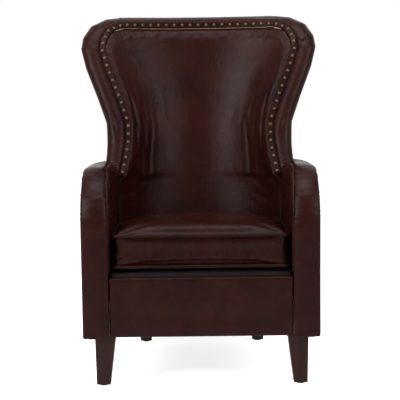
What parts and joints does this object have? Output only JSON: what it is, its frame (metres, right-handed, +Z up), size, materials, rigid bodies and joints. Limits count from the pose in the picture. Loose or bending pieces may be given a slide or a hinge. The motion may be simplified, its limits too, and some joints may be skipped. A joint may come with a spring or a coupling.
{
  "type": "wingback armchair",
  "caption": "High-backed leather armchair with flared wings, swooping square arms, nail-trimmed padded rim and a loose welted seat cushion on tapered wooden legs.",
  "frame": {"origin": "bottom centre of the bounding box, on the floor", "axes": "+Z up, the chair faces -Y, +X to the right of a viewer who faces its front"},
  "size_m": [0.7812, 0.7661, 1.1306],
  "materials": {
    "hide": "semi-gloss dark brown hide",
    "hide_welt": "dark brown hide piping and nail strip",
    "leg_wood": "dark red-brown stain under satin lacquer",
    "frame_wood": "raw hardwood",
    "foam": "open-cell foam",
    "wadding": "polyester wadding",
    "felt": "needled felt",
    "platform_cloth": "dark brown platform cloth",
    "webbing": "woven webbing",
    "dust_cloth": "black non-woven cloth",
    "spring_steel": "bare drawn wire",
    "fastener_steel": "zinc plated",
    "nail_brass": "antique brass",
    "zip_metal": "antique brass",
    "glide": "black glide"
  },
  "bodies": {
    "chair": {"crest_band": "hide", "inside_back_cover": "hide", "outside_back_cover": "hide", "apron_cover": "hide", "right_wing_band": "hide", "left_wing_band": "hide", "right_arm_band": "hide", "left_arm_band": "hide", "right_inside_arm_cover": "hide", "left_inside_arm_cover": "hide", "right_outside_arm_cover": "hide", "left_outside_arm_cover": "hide", "right_outside_wing_cover": "hide", "left_outside_wing_cover": "hide", "nail_strips": "hide_welt", "front_right_leg": "leg_wood", "front_left_leg": "leg_wood", "rear_right_leg": "leg_wood", "rear_left_leg": "leg_wood", "front_seat_rail": "frame_wood", "rear_seat_rail": "frame_wood", "corner_blocks": "frame_wood", "tuck_rail": "frame_wood", "crest_rail": "frame_wood", "wing_rails": "frame_wood", "right_seat_rail": "frame_wood", "left_seat_rail": "frame_wood", "right_arm_post": "frame_wood", "left_arm_post": "frame_wood", "right_arm_rail": "frame_wood", "left_arm_rail": "frame_wood", "right_back_post": "frame_wood", "left_back_post": "frame_wood", "right_wing_post": "frame_wood", "left_wing_post": "frame_wood", "back_foam": "foam", "seat_foam": "foam", "inside_arm_pads": "foam", "wing_pads": "wadding", "crest_pad": "wadding", "arm_band_pads": "wadding", "apron_pad": "wadding", "seat_felt": "felt", "seat_cloth": "platform_cloth", "back_webbing": "webbing", "dust_cover": "dust_cloth", "seat_springs": "spring_steel", "spring_clips": "fastener_steel", "leg_fasteners": "fastener_steel", "nail_heads": "nail_brass", "leg_glides": "glide"},
    "cushion": {"cushion_core": "foam", "cushion_top": "hide", "cushion_bottom": "hide", "cushion_boxing": "hide", "cushion_welts": "hide_welt", "zip_chain": "zip_metal"},
    "slider": {"zip_slider": "zip_metal"},
    "pull": {"zip_pull": "zip_metal"}
  },
  "joints": [
    {"name": "cushion_lift", "type": "slide", "parent": "chair", "child": "cushion", "axis": [0, -0.9397, 0.342], "range_m": [0, 0.6]},
    {"name": "zip_run", "type": "hinge", "parent": "cushion", "child": "slider", "pos_m": [0, -0.20711, 0.4025], "axis": [0, 0, 1], "range_deg": [0, 54]},
    {"name": "pull_swing", "type": "hinge", "parent": "slider", "child": "pull", "pos_m": [0.14743, 0.08224, 0.4025], "axis": [0, 0, -1], "range_deg": [0, 175]}
  ]
}
